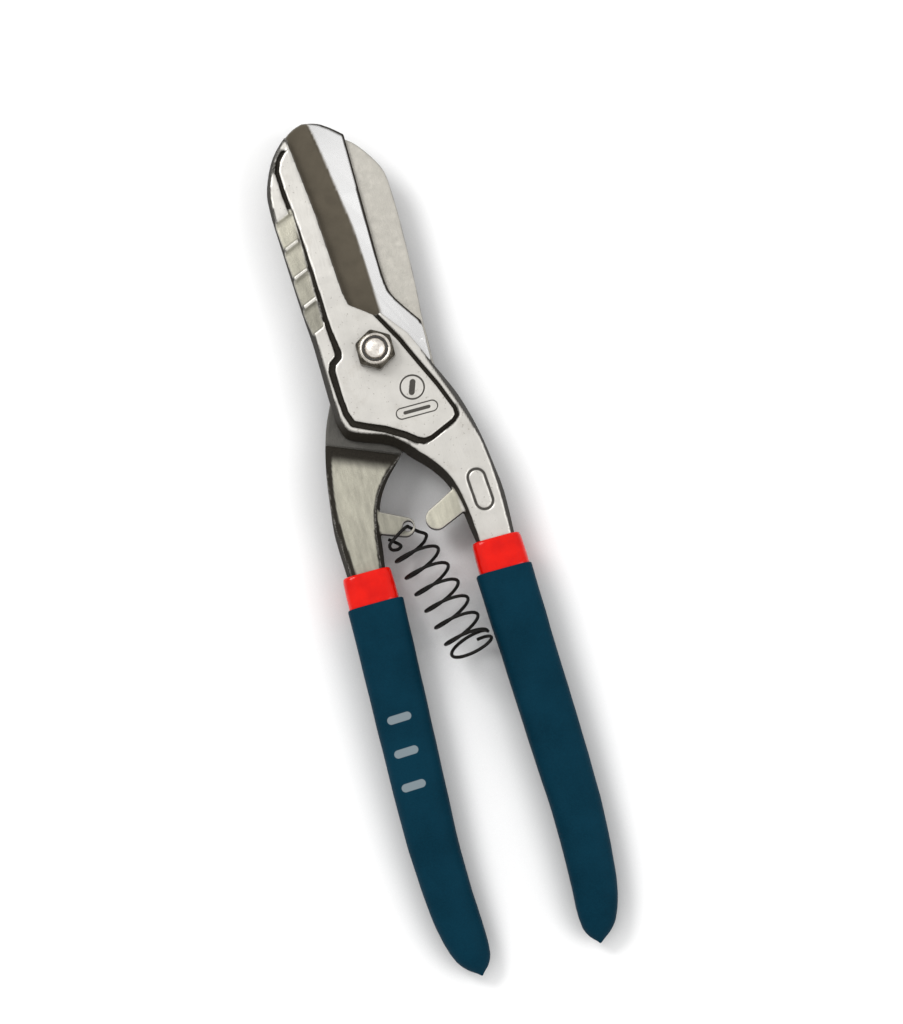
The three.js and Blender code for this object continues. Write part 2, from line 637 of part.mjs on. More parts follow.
// The wire: the hook, then the turns, closed up at the far end.
function springPath() {
  const lean = deg(SPRING_LEAN);
  const rise = deg(SPRING_RISE);
  const flat = new THREE.Vector3(Math.sin(lean), -Math.cos(lean), 0);
  const along = flat.clone().multiplyScalar(Math.cos(rise)).setZ(Math.sin(rise));
  const upright = flat.clone().multiplyScalar(-Math.sin(rise)).setZ(Math.cos(rise));
  const across = new THREE.Vector3(Math.cos(lean), Math.sin(lean), 0);
  const start = new THREE.Vector3(...SPRING_START, 0);
  const over = LUG_HALF_THICKNESS + 2 * WIRE_RADIUS;
  const path = HOOK.map(([x, y, z]) => new THREE.Vector3(x - EYE_X, y - LUG_Y, z * over));
  const turns = SPRING_TURNS + END_TURNS;
  for (let i = SPRING_FIRST; i <= turns * POINTS_PER_TURN; i += 1) {
    const turn = i / POINTS_PER_TURN;
    const angle = turn * 2 * Math.PI;
    const open = Math.min(turn, SPRING_TURNS);
    const tilt = turn > SPRING_TURNS ? END_TILT * Math.sin(angle) : 0;
    const advance = open * SPRING_PITCH + (turn - open) * END_PITCH - tilt;
    const point = start.clone()
      .addScaledVector(along, advance)
      .addScaledVector(across, SPRING_RADIUS * Math.cos(angle))
      .addScaledVector(upright, -SPRING_RADIUS * Math.sin(angle));
    path.push(point);
  }
  return path;
}

function springGeometry() {
  const path = springPath();
  const wire = new THREE.Shape();
  wire.absarc(0, 0, WIRE_RADIUS, 0, 2 * Math.PI, false);
  return new THREE.ExtrudeGeometry(wire, {
    steps: path.length,
    curveSegments: 3,
    extrudePath: new THREE.CatmullRomCurve3(path),
  });
}

// ---- materials and assembly ----------------------------------------------------

const finish = (color, roughness, metalness) => (
  new THREE.MeshStandardMaterial({ color, roughness, metalness })
);
const GROUND_STEEL = finish('#cfccc5', 0.35, 0.9);
const DARK_STEEL = finish('#5b564f', 0.5, 0.8);
const ZINC = finish('#b9b2a8', 0.3, 0.9);
const NYLON = finish('#3a3734', 0.6, 0);
const SPRING_STEEL = finish('#1d1c1b', 0.5, 0.6);
const RED_DIP = finish('#e8200d', 0.35, 0);
const TEAL_DIP = finish('#0b3344', 0.6, 0);

function named(name, geometry, material) {
  const mesh = new THREE.Mesh(geometry, material);
  mesh.name = name;
  return mesh;
}

const tool = new THREE.Group();
const front = new THREE.Group();
const back = new THREE.Group();
back.rotation.y = Math.PI;
front.add(named('front_half', toGeometry(frontHalf()), GROUND_STEEL));
back.add(named('back_half', toGeometry(backHalf()), GROUND_STEEL));
for (const [side, group] of [['right', front], ['left', back]]) {
  group.add(named(`${side}_sleeve`, toGeometry(sleeve()), RED_DIP));
  group.add(named(`${side}_grip`, toGeometry(grip()), TEAL_DIP));
}
tool.add(front, back);
tool.add(named('pivot_bolt', toGeometry(pivotBolt()), DARK_STEEL));
tool.add(named('lock_nut', toGeometry(lockNut()), ZINC));
tool.add(named('nut_insert', toGeometry(nutInsert()), NYLON));
tool.add(named('return_spring', springGeometry(), SPRING_STEEL));
tool.position.z = SHEAR_Z;

export default tool;
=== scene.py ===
"""Hand snips for sheet metal: the visual model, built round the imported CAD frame.

The tool lies flat, blades towards +Y, nut side up. Lengths are metres, except where
millimetres are named.
"""
import json
import math

import bmesh
import bpy
import numpy as np
from mathutils import Matrix, Vector, noise
from mathutils.bvhtree import BVHTree
from mathutils.kdtree import KDTree


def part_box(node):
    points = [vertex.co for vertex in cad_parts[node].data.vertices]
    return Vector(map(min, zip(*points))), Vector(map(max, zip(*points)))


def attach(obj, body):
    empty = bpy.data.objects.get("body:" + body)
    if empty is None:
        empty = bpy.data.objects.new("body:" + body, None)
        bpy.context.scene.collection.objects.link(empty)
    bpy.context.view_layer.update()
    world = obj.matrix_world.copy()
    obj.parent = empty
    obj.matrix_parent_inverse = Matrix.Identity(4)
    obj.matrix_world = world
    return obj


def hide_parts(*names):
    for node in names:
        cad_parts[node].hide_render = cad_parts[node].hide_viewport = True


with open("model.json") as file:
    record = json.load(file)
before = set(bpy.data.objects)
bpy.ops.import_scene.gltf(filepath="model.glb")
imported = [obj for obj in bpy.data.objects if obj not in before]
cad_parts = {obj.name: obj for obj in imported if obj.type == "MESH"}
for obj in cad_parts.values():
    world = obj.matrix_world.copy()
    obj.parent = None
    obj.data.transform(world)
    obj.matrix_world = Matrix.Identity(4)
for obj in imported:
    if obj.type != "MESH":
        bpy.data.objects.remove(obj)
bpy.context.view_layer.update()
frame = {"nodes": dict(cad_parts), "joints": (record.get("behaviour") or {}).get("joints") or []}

MM = 0.001
JOINTS = {joint["name"]: joint for joint in frame["joints"]}
SHEAR_Z = JOINTS["jaw_pivot"]["pos_m"][2]  # height of the plane the two blades share
FINE = 0.34 * MM  # grain of the forgings' mesh
VOXEL = FINE


# ---- camera and light ---------------------------------------------------------------

LEAN = math.radians(15.3)  # how far the tool leans left in the picture
TILT = math.radians(6)  # camera off the vertical, towards the handles
LOOK_AT = Vector((9.2, -50.8, 0)) * MM + Vector((0, 0, SHEAR_Z))
DISTANCE = 1.3
VIEW_HEIGHT = 0.3003  # what the picture's height takes in at the tool


def make_camera():
    up = Vector((math.sin(LEAN), math.cos(LEAN), 0))
    back = Vector((0, 0, 1)) * math.cos(TILT) - up * math.sin(TILT)
    right = up.cross(back).normalized()
    data = bpy.data.cameras.new("camera")
    data.sensor_width = 36
    data.lens = data.sensor_width * DISTANCE / VIEW_HEIGHT
    data.clip_start = 0.01
    camera = bpy.data.objects.new("camera", data)
    turn = Matrix((right, back.cross(right), back)).transposed().to_4x4()
    camera.matrix_world = Matrix.Translation(LOOK_AT + back * DISTANCE) @ turn
    bpy.context.scene.collection.objects.link(camera)
    bpy.context.scene.camera = camera


def disk_light(name, place, size, power):
    data = bpy.data.lights.new(name, "AREA")
    data.shape = "DISK"
    data.size = size
    data.energy = power
    lamp = bpy.data.objects.new(name, data)
    lamp.location = place
    lamp.rotation_euler = (LOOK_AT - Vector(place)).to_track_quat("-Z", "Y").to_euler()
    lamp.visible_camera = False
    bpy.context.scene.collection.objects.link(lamp)


def make_light():
    world = bpy.data.worlds.new("studio")
    world.use_nodes = True
    shade = world.node_tree.nodes["Background"]
    shade.inputs["Color"].default_value = (1, 1, 1, 1)
    shade.inputs["Strength"].default_value = 0.85
    bpy.context.scene.world = world
    disk_light("key", place=(-0.7, 0.9, 1.3), size=0.7, power=14)
    disk_light("fill", place=(0.9, -0.5, 1.2), size=1.0, power=6)
    bpy.context.scene.view_settings.view_transform = "Standard"


# ---- node helpers -------------------------------------------------------------------

class Shader:
    """A material and short ways to add nodes to it."""

    def __init__(self, name):
        self.material = bpy.data.materials.new(name)
        self.material.use_nodes = True
        self.tree = self.material.node_tree
        self.surface = self.tree.nodes["Principled BSDF"]

    def set(self, **values):
        for key, value in values.items():
            self.surface.inputs[key.replace("_", " ")].default_value = value
        return self

    def link(self, output, key):
        self.tree.links.new(output, self.surface.inputs[key])

    def add(self, kind, values=None, **settings):
        """A node with its settings, and its inputs linked or set by values."""
        node = self.tree.nodes.new("ShaderNode" + kind)
        for key, value in settings.items():
            setattr(node, key, value)
        for key, value in (values or {}).items():
            if isinstance(value, bpy.types.NodeSocket):
                self.tree.links.new(value, node.inputs[key])
            else:
                node.inputs[key].default_value = value
        return node

    def place(self, scale=(1, 1, 1)):
        """Object coordinates in millimetres, stretched by scale."""
        where = self.add("TexCoord").outputs["Object"]
        sizes = tuple(s / MM for s in scale)
        return self.add("Mapping", {"Vector": where, "Scale": sizes}).outputs["Vector"]

    def noise(self, size, detail=3, roughness=0.55, scale=(1, 1, 1), low=0.35, high=0.65):
        """Noise with features about size millimetres across, spread to 0..1."""
        values = {"Vector": self.place(scale), "Scale": 1 / size}
        values.update({"Detail": detail, "Roughness": roughness})
        return self.spread(self.add("TexNoise", values).outputs["Fac"], low, high)

    def attribute(self, name):
        return self.add("Attribute", attribute_name=name).outputs["Fac"]

    def mix(self, fac, a, b, blend="MIX"):
        """A colour mix; a and b are colours or sockets."""
        a, b = (c if isinstance(c, bpy.types.NodeSocket) else (*c, 1) for c in (a, b))
        return self.add("Mix", {0: fac, 6: a, 7: b}, data_type="RGBA", blend_type=blend).outputs[2]

    def number(self, operation, a, b=0, clamp=False):
        return self.add("Math", {0: a, 1: b}, operation=operation, use_clamp=clamp).outputs[0]

    def times(self, a, b, clamp=False):
        return self.number("MULTIPLY", a, b, clamp)

    def highest(self, first, *others):
        for other in others:
            first = self.number("MAXIMUM", first, other)
        return first

    def spread(self, value, low, high, start=0, end=1):
        """A value's part of the way from low to high, as start..end."""
        values = {"Value": value, "From Min": low, "From Max": high, "To Min": start, "To Max": end}
        return self.add("MapRange", values).outputs["Result"]

    def stadium(self, x, y, straight=0, lean=0):
        """Distance in millimetres from a line of half length straight along Y about a point."""
        values = {"Vector": self.place(), "Location": (x, y, 0)}
        values["Rotation"] = (0, 0, math.radians(lean))
        here = self.add("Mapping", values, vector_type="TEXTURE").outputs["Vector"]
        parts = self.add("SeparateXYZ", {"Vector": here}).outputs
        past = self.number("SUBTRACT", self.number("ABSOLUTE", parts["Y"]), straight)
        flat = self.add("CombineXYZ", {"X": parts["X"], "Y": self.number("MAXIMUM", past)})
        length = self.add("VectorMath", {0: flat.outputs["Vector"]}, operation="LENGTH")
        return length.outputs["Value"]

    def stroke(self, distance, radius, width, soft=0.06):
        """1 within a line of some width at a radius, 0 off it."""
        off = self.number("ABSOLUTE", self.number("SUBTRACT", distance, radius))
        return self.spread(off, width / 2 - soft, width / 2 + soft, 1, 0)

    def above(self, level, soft=0.15):
        """1 over a level in millimetres, 0 under it."""
        height = self.add("SeparateXYZ", {"Vector": self.place()}).outputs["Z"]
        return self.spread(height, level - soft, level)

    def bump(self, height, depth):
        """Bump of a height in 0..1 that stands for depth millimetres."""
        bump = self.add("Bump", {"Height": height, "Distance": depth * MM})
        self.link(bump.outputs["Normal"], "Normal")


# ---- materials ----------------------------------------------------------------------

GROUND = (0.62, 0.6, 0.56)
BRIGHT = (0.86, 0.855, 0.85)
BLACKED = (0.016, 0.014, 0.011)
UMBER = (0.094, 0.08, 0.059)
CAST = (0.36, 0.345, 0.285)
LAPPED = (0.47, 0.45, 0.405)
RUST = (0.3, 0.26, 0.2)
PIT = (0.2, 0.18, 0.15)
PRINT = (0.2, 0.24, 0.26)

# Places on the tool in millimetres. A level is a height over the bolt head's outer face,
# just under the face that carries the mark.
OVAL = {"x": 19.0, "y": -47, "straight": 3.5, "lean": 4}  # ring pressed in the upper shank
OVAL_RADIUS = 2.55
OVAL_LINE = 0.8
OVAL_LEVEL = SHEAR_Z / MM + 2
STAMP = (7.6, -13.1)  # middle of the stamped ring on the nut-side panel
STAMP_BAR = (7.2, -19.9)  # middle of the framed bar below it
PANEL_LEVEL = 19.2
PRINTED_BARS = ((-21.5, -105.5), (-22.1, -115.5), (-22.6, -125.5))
GRIP_LEVEL = SHEAR_Z / MM + 4


def dimmed(colour, by):
    return tuple(c * by for c in colour)


def stamped_mark(shade):
    """A plain stamp on the nut-side panel: a ring round a stroke, over a framed bar."""
    ring = shade.stroke(shade.stadium(*STAMP), 3.5, 0.55)
    inner = shade.spread(shade.stadium(*STAMP, 1.5, -20), 0.8, 1, 1, 0)
    outline = shade.stroke(shade.stadium(*STAMP_BAR, 4.6, 90), 1.6, 0.4)
    bar = shade.spread(shade.stadium(*STAMP_BAR, 3.6, 90), 0.45, 0.6, 1, 0)
    return shade.times(shade.highest(ring, inner, outline, bar), shade.above(PANEL_LEVEL))


def pressed_lines(shade):
    """The dark lines on the upper half: the oval on its shank and the stamp on its panel."""
    oval = shade.stroke(shade.stadium(**OVAL), OVAL_RADIUS, OVAL_LINE, 0.1)
    oval = shade.times(oval, shade.above(OVAL_LEVEL))
    return shade.times(shade.highest(oval, stamped_mark(shade)), 0.93)


def forged_steel():
    """Forged steel with its zones painted in by the mesh's attributes."""
    shade = Shader("forged_steel")
    mottle = shade.noise(5, 4)
    fine = shade.noise(0.35)
    grind = shade.noise(0.5, 4, scale=(1, 0.12, 1))
    streak = shade.noise(1.6, 4, scale=(1, 0.2, 1), low=0.3, high=0.7)
    pits = shade.noise(0.8, 2, low=0.67, high=0.72)
    grime = shade.noise(7, 6, roughness=0.7, low=0.55, high=0.72)
    names = ("dark", "umber", "cast", "bright", "lap", "edge", "tone")
    dark, umber, cast, bright, lap, edge, tone = (shade.attribute(name) for name in names)
    line = pressed_lines(shade)

    colour = shade.mix(mottle, dimmed(GROUND, 0.92), GROUND)
    colour = shade.mix(shade.times(grime, 0.22), colour, RUST)
    colour = shade.mix(shade.times(pits, 0.55), colour, PIT)
    blotch = shade.mix(shade.noise(2.2, 5), dimmed(LAPPED, 0.86), dimmed(LAPPED, 1.1))
    colour = shade.mix(lap, colour, shade.mix(streak, dimmed(LAPPED, 0.92), blotch))
    colour = shade.mix(cast, colour, shade.mix(streak, dimmed(CAST, 0.84), dimmed(CAST, 1.16)))
    colour = shade.mix(bright, colour, BRIGHT)
    # The tone attribute lightens or darkens each zone, and carries painted shade on the lap by the
    # heel and a painted reflection along the blade.
    grey = shade.add("CombineXYZ", {"X": tone, "Y": tone, "Z": tone}).outputs["Vector"]
    colour = shade.mix(1, colour, grey, "MULTIPLY")
    colour = shade.mix(umber, colour, shade.mix(mottle, dimmed(UMBER, 0.85), UMBER))
    blacked = shade.mix(fine, BLACKED, dimmed(BLACKED, 1.7))
    colour = shade.mix(dark, colour, blacked)
    colour = shade.mix(line, colour, blacked)
    # Rubbed edges with a painted highlight: sharp outward bends go back to ground steel.
    wear_and_highlight = shade.times(edge, shade.times(fine, 0.4), clamp=True)
    shade.link(shade.mix(wear_and_highlight, colour, GROUND), "Base Color")

    paint = shade.highest(dark, umber, line)
    bare = shade.number("SUBTRACT", 1, shade.times(paint, 0.97))
    shade.link(shade.times(bare, 0.8), "Metallic")
    shade.link(shade.spread(paint, 0, 1, 0.5, 0.05), "Specular IOR Level")
    coarse = shade.highest(cast, lap)
    rough = shade.number("ADD", shade.times(coarse, 0.16), 0.36)
    rough = shade.number("ADD", rough, shade.times(fine, 0.08))
    shade.link(shade.number("SUBTRACT", rough, shade.times(bright, 0.12)), "Roughness")
    texture = shade.times(shade.times(coarse, fine), 0.7)
    height = shade.number("ADD", shade.times(grind, 0.2), texture)
    shade.bump(shade.number("SUBTRACT", height, line), 0.05)
    return shade.material


def red_dip():
    shade = Shader("red_dip").set(Roughness=0.16, Specular_IOR_Level=0.2)
    colour = shade.mix(shade.noise(6), (0.56, 0.003, 0.0006), (0.68, 0.006, 0.001))
    shade.link(colour, "Base Color")
    shade.bump(shade.noise(3, 2), 0.03)
    return shade.material


def teal_dip():
    """The dark second dip, with three plain bars printed across the left grip."""
    shade = Shader("teal_dip").set(Specular_IOR_Level=0.03)
    grain = shade.noise(0.45)
    colour = shade.mix(shade.noise(14, 4), (0.001, 0.0195, 0.035), (0.0018, 0.026, 0.046))
    colour = shade.mix(shade.times(grain, 0.25), colour, (0.003, 0.04, 0.068))
    bars = [shade.spread(shade.stadium(x, y, 2.4, 92), 1.1, 1.3, 1, 0) for x, y in PRINTED_BARS]
    bars = shade.times(shade.highest(*bars), shade.above(GRIP_LEVEL))
    shade.link(shade.mix(shade.times(bars, 0.9), colour, PRINT), "Base Color")
    shade.link(shade.number("ADD", 0.46, shade.times(grain, 0.14)), "Roughness")
    shade.bump(grain, 0.035)
    return shade.material


def spring_wire():
    shade = Shader("spring_wire").set(Specular_IOR_Level=0.08)
    grain = shade.noise(0.4)
    shade.link(shade.mix(grain, (0.005, 0.0045, 0.004), (0.013, 0.012, 0.011)), "Base Color")
    shade.link(shade.number("ADD", 0.38, shade.times(grain, 0.2)), "Roughness")
    shade.bump(grain, 0.02)
    return shade.material


def plated_steel(name, light, dim, rough):
    shade = Shader(name).set(Metallic=0.95)
    cloud = shade.noise(1.4, 4)
    shade.link(shade.mix(cloud, dim, light), "Base Color")
    shade.link(shade.number("ADD", rough, shade.times(cloud, 0.15)), "Roughness")
    shade.bump(shade.noise(0.3), 0.02)
    return shade.material


def nylon():
    shade = Shader("nylon").set(Roughness=0.55)
    colour = shade.mix(shade.noise(0.6), (0.02, 0.018, 0.016), (0.05, 0.045, 0.04))
    shade.link(colour, "Base Color")
    shade.bump(shade.noise(0.3, 2), 0.02)
    return shade.material


def floor_material():
    """A pale floor with a painted contact shadow, grey close to what lies on it."""
    shade = Shader("floor").set(Roughness=0.9)
    pale = shade.mix(shade.noise(60), (0.9, 0.9, 0.9), (0.92, 0.92, 0.92))
    # Painted contact shadow: ambient occlusion greys the floor's colour near the tool.
    contact_shadow = shade.add("AmbientOcclusion", {"Distance": 0.02}, samples=8).outputs["AO"]
    colour = shade.mix(shade.spread(contact_shadow, 0.2, 0.95), (0.38, 0.38, 0.38), pale)
    shade.link(colour, "Base Color")
    return shade.material


# ---- mesh helpers -------------------------------------------------------------------

def mesh_object(name, points, faces, material, smooth=True):
    mesh = bpy.data.meshes.new(name)
    mesh.from_pydata([tuple(p) for p in points], [], faces)
    mesh.validate()
    mesh.polygons.foreach_set("use_smooth", [smooth] * len(mesh.polygons))
    mesh.materials.append(material)
    piece = bpy.data.objects.new(name, mesh)
    bpy.context.scene.collection.objects.link(piece)
    return piece


def loft(name, rings, material):
    """A closed body from rings of points, each end closed by a fan to its middle."""
    rings = [np.asarray(ring) for ring in rings]
    sides = len(rings[0])
    points = np.concatenate([*rings, rings[0].mean(0)[None], rings[-1].mean(0)[None]])
    first, last = len(points) - 2, len(points) - 1
    end = (len(rings) - 1) * sides
    faces = []
    for start in range(0, end, sides):
        for i in range(sides):
            j = (i + 1) % sides
            faces.append((start + i, start + j, start + sides + j, start + sides + i))
    for i in range(sides):
        j = (i + 1) % sides
        faces.append((first, j, i))
        faces.append((last, end + i, end + j))
    return outward(mesh_object(name, points, faces, material))


def outward(piece):
    """Turns a closed piece's faces to point out."""
    work = bmesh.new()
    work.from_mesh(piece.data)
    bmesh.ops.recalc_face_normals(work, faces=work.faces)
    if work.calc_volume(signed=True) < 0:
        bmesh.ops.reverse_faces(work, faces=work.faces)
    work.to_mesh(piece.data)
    work.free()
    return piece


def around(sides):
    """Evenly spaced angles round a circle."""
    return np.arange(sides) * 2 * math.pi / sides


def lathe(name, profile, material, sides=64):
    """A body turned about the pivot axis from (radius, height) in millimetres."""
    cos, sin = np.cos(around(sides)), np.sin(around(sides))
    rings = [np.stack([r * MM * cos, r * MM * sin, np.full(sides, z * MM + SHEAR_Z)], 1)
             for r, z in profile]
    return loft(name, rings, material)


def smooth_between(p0, p1, p2, p3, t):
    """A point between p1 and p2 on a smooth curve through four."""
    return 0.5 * (2 * p1 + (p2 - p0) * t + (2 * p0 - 5 * p1 + 4 * p2 - p3) * t ** 2
                  + (3 * p1 - p0 - 3 * p2 + p3) * t ** 3)


# ---- forged halves ------------------------------------------------------------------
# Millimetres, with heights over the shear plane. A point's drop is its depth below the
# ground faces, and up is its normal's Z.

STEP_ANGLE = math.radians(22.4)  # slant of the step where the lap ends
STEP_AT = (28.4, 28.8)  # how far along its slant the step lies
BEVEL_EDGE = ((4.3, 10.9), (4, 18), (3.7, 26.6), (3.1, 38), (1.7, 48), (-0.2, 62), (-1.9, 72))
BEVEL_ASIDE = {"front": 0.3, "back": -4.7}  # added to the bevel's X on each half
HEAD_FROM = (-32, -30)  # Y where the shank becomes the head
BLADE_FROM_Y = 11.5  # above it the bevel bounds the blade
CHANNEL_X = (-9.8, -9.2)
NOTCH_X = (-12.9, -12.5)
NOTCH_Y = (7.2, 47.5)
GROOVE_DROP = (0.95, 2.3)
LUG_Y = (-56, -43)
LUG_X = (12.0, 12.6)
LUG_HEIGHT = 2.6  # half thickness that takes in the lug's faces
SHANK_LINE = (0.9, 1.8)  # width of the dark line along the rough shank's two sides
TANG_HIDDEN = 14  # how far inside its sleeve the tang is cut off the seen part
FAR = 99.0


def part_of(node, name, y, upper):
    """A closed copy of the part of a CAD body on one side of a cut across it at y."""
    work = bmesh.new()
    work.from_mesh(frame["nodes"][node].data)
    bmesh.ops.remove_doubles(work, verts=work.verts, dist=1e-7)
    whole = [*work.verts, *work.edges, *work.faces]
    cut = bmesh.ops.bisect_plane(work, geom=whole, plane_co=(0, y, 0), plane_no=(0, 1, 0),
                                 clear_inner=upper, clear_outer=not upper)
    rim = [item for item in cut["geom_cut"] if isinstance(item, bmesh.types.BMEdge)]
    bmesh.ops.contextual_create(work, geom=rim)
    mesh = bpy.data.meshes.new(name)
    work.to_mesh(mesh)
    work.free()
    piece = bpy.data.objects.new(name, mesh)
    bpy.context.scene.collection.objects.link(piece)
    return piece


def refine(piece):
    """Gives a piece an even fine mesh with its edges softened."""
    grid = piece.modifiers.new("grid", "REMESH")
    grid.mode = "VOXEL"
    grid.voxel_size = VOXEL
    soften = piece.modifiers.new("soften", "SMOOTH")
    soften.factor = 0.5
    soften.iterations = 2
    graph = bpy.context.evaluated_depsgraph_get()
    mesh = bpy.data.meshes.new_from_object(piece.evaluated_get(graph))
    piece.modifiers.clear()
    piece.data = mesh
    mesh.polygons.foreach_set("use_smooth", [True] * len(mesh.polygons))


def write_zone(mesh, name, values):
    layer = mesh.attributes.new(name, "FLOAT", "POINT")
    layer.data.foreach_set("value", np.clip(values, 0, 1.4).astype(np.float32))


def ramp(low, high, value):
    """0 below low, 1 above high, smooth between."""
    t = np.clip((value - low) / (high - low), 0, 1)
    return t * t * (3 - 2 * t)


def between(low, high, value, soft):
    return ramp(low - soft, low + soft, value) * (1 - ramp(high - soft, high + soft, value))


def nearest(place, sources, seekers):
    """For each seeker, how far the nearest source point is, and its number."""
    reach = np.full(len(place), FAR)
    which = np.zeros(len(place), int)
    found = np.flatnonzero(sources)
    tree = KDTree(len(found))
    for i in found:
        tree.insert(place[i], i)
    tree.balance()
    for i in np.flatnonzero(seekers):
        _, which[i], reach[i] = tree.find(place[i])
    return reach, which


class Surface:
    """A forging's points in millimetres over the shear plane, turned to the front half's."""

    def __init__(self, mesh, turned):
        self.mesh = mesh
        self.turned = turned
        self.place = self.read("co")
        self.place[:, 2] -= SHEAR_Z
        self.place /= MM
        self.normal = self.read("normal")
        if turned:
            self.place[:, [0, 2]] *= -1
            self.normal[:, [0, 2]] *= -1
        self.x, self.y, self.z = self.place.T
        self.up = self.normal[:, 2]
        self.drop = self.highest_ground() - self.z
        ends = np.zeros(len(mesh.edges) * 2, int)
        mesh.edges.foreach_get("vertices", ends)
        self.ends = ends.reshape(-1, 2)

    def read(self, key):
        values = np.zeros(len(self.mesh.vertices) * 3)
        self.mesh.vertices.foreach_get(key, values)
        return values.reshape(-1, 3)

    def highest_ground(self):
        """The height of the topmost ground face at each point's station along the tool."""
        flat = self.up > 0.97
        stations = np.arange(-60, 61, 4.0)
        tops = []
        for y in stations:
            here = self.z[flat & (np.abs(self.y - y) < 1.5)]
            tops.append(np.percentile(here, 97) if len(here) else np.nan)
        slope = (tops[-1] - tops[-6]) / (stations[-1] - stations[-6])
        past = 15.0  # the last station is carried on to the tip
        return np.interp(self.y, [*stations, stations[-1] + past], [*tops, tops[-1] + slope * past])

    def neighbours(self, values):
        """The mean of each point's neighbours."""
        total = np.zeros_like(self.place)
        number = np.zeros(len(self.place))
        for a, b in ((0, 1), (1, 0)):
            np.add.at(total, self.ends[:, a], values[self.ends[:, b]])
            np.add.at(number, self.ends[:, a], 1)
        return total / np.maximum(number, 1)[:, None]

    def evened(self, *zones):
        """Zones with their borders evened out, each value shared twice with its neighbours."""
        values = np.zeros_like(self.place)
        values[:, :len(zones)] = np.stack(zones, 1)
        for _ in range(2):
            values = 0.4 * values + 0.6 * self.neighbours(values)
        return values.T[:len(zones)]

    def move(self, height):
        """Moves each point out along its normal."""
        place = self.place + self.normal * height[:, None]
        if self.turned:
            place[:, [0, 2]] *= -1
        place *= MM
        place[:, 2] += SHEAR_Z
        self.mesh.vertices.foreach_set("co", place.ravel())
        self.mesh.update()


def upper_zones(s):
    """The blade, the brown channel, the notches and the dark groove, and the side walls."""
    aside = BEVEL_ASIDE["back" if s.turned else "front"]
    bevel_x, bevel_y = np.array(BEVEL_EDGE).T
    past_bevel = ramp(-0.1, 0.25, s.x - np.interp(s.y, bevel_y, bevel_x) - aside)
    head = ramp(*HEAD_FROM, s.y)
    top = ramp(0.3, 0.55, s.up)
    blade = head * ramp(2.5, 2.8, s.drop) * np.where(s.y > BLADE_FROM_Y, past_bevel, 1)
    bright = blade * ramp(0.35, 0.55, s.up) * ramp(-9, -7.5, s.y)
    channel = head * ramp(2.2, 2.6, s.drop) * (1 - past_bevel) * ramp(9.5, 10.5, s.y)
    channel *= ramp(*CHANNEL_X, s.x) * ramp(0.3, 0.5, s.up)
    notches = between(*NOTCH_Y, s.y, 0.4) * (1 - ramp(*NOTCH_X, s.x))
    notches *= ramp(0.72, 0.85, s.drop) * top
    groove = head * between(*GROOVE_DROP, s.drop, 0.12) * (1 - notches) * top
    side = 1 - ramp(0.42, 0.68, np.abs(s.up))
    dark = np.maximum(groove, side * (1 - bright) * (1 - notches))
    return bright, channel, notches, dark


def seams(s, bright, cast, lug):
    """Dark lines along the head's rim and the rough shank's sides, and a painted shadow along the
    blade's edge.
    """
    wall = np.abs(s.up) < 0.5
    plan = s.place * (1, 1, 0)
    reach, _ = nearest(plan, wall & (s.drop > 4.6), wall & (s.drop > 0.7) & (s.drop < 2))
    reach, _ = nearest(s.place, wall & (reach < 2), (s.up > 0.5) & (s.drop < 1.2))
    rim_line = 1 - ramp(0.4, 0.7, reach)
    low = wall & (s.z < 1.5) & (s.z > 0)
    # Painted shadow: the ground blade darkens within about a millimetre of its cutting edge's side
    # face.
    reach, _ = nearest(s.place, low, (bright > 0.3) & (s.up > 0.5))
    edge_shadow_line = 1 - ramp(0.75, 1, reach)
    reach, which = nearest(s.place, wall & (s.z < 0.5), (cast > 0.5) & (lug < 0.5))
    thin, thick = SHANK_LINE
    width = np.where(s.normal[which, 0] > 0, thick, thin)
    shank_line = 1 - ramp(-0.2, 0.15, reach - width)
    return np.maximum.reduce([rim_line, edge_shadow_line, shank_line])


def tones(s, bright, cast, notches, lap, lug):
    """How light each point is against its zone's own colour, with painted shade on the lap face by
    the heel and a painted reflection along the ground blade.
    """
    # Painted shade: the lap face darkens towards the heel, beside the front half.
    tone = 1 - 0.8 * lap * (1 - ramp(-12, -6, s.y))
    tone *= 1 + (notches > 0.5) * (0.15 - 0.5 * (1 - ramp(8, 46, s.y)))
    tone *= 1 + (lug > 0.5) * (-0.25 if s.turned else 0.25)
    tone *= 1 - 0.14 * cast * (1 - ramp(-62, -40, s.y)) * (lug < 0.5)
    # Painted reflection: the ground blade is lightest mid-way and dims towards its root and its
    # tip.
    blade_reflection = 0.9 + 0.1 * np.sin((s.y - 12) / 60 * math.pi)
    return np.where(bright > 0.2, blade_reflection - 0.06 * ramp(60, 72, s.y), tone)


def edge_wear_and_highlight(s):
    """1 where the surface bends sharply outwards, off the channel and the blade: rubbed edges with
    a painted highlight along them.
    """
    bend = ((s.place - s.neighbours(s.place)) * s.normal).sum(1) * FINE / VOXEL
    return ramp(0.012, 0.05, bend) * (1 - ramp(*HEAD_FROM, s.y) * ramp(2, 2.4, s.drop))


def forge_scale(s, rough):
    """How far the rough faces' points stand out or in."""
    height = np.zeros(len(s.place))
    for i in np.flatnonzero(rough > 0.05):
        point = Vector(s.place[i])
        height[i] = noise.noise(point / 1.7) + 0.6 * noise.noise(point / 0.7)
    return height * 0.05 * rough


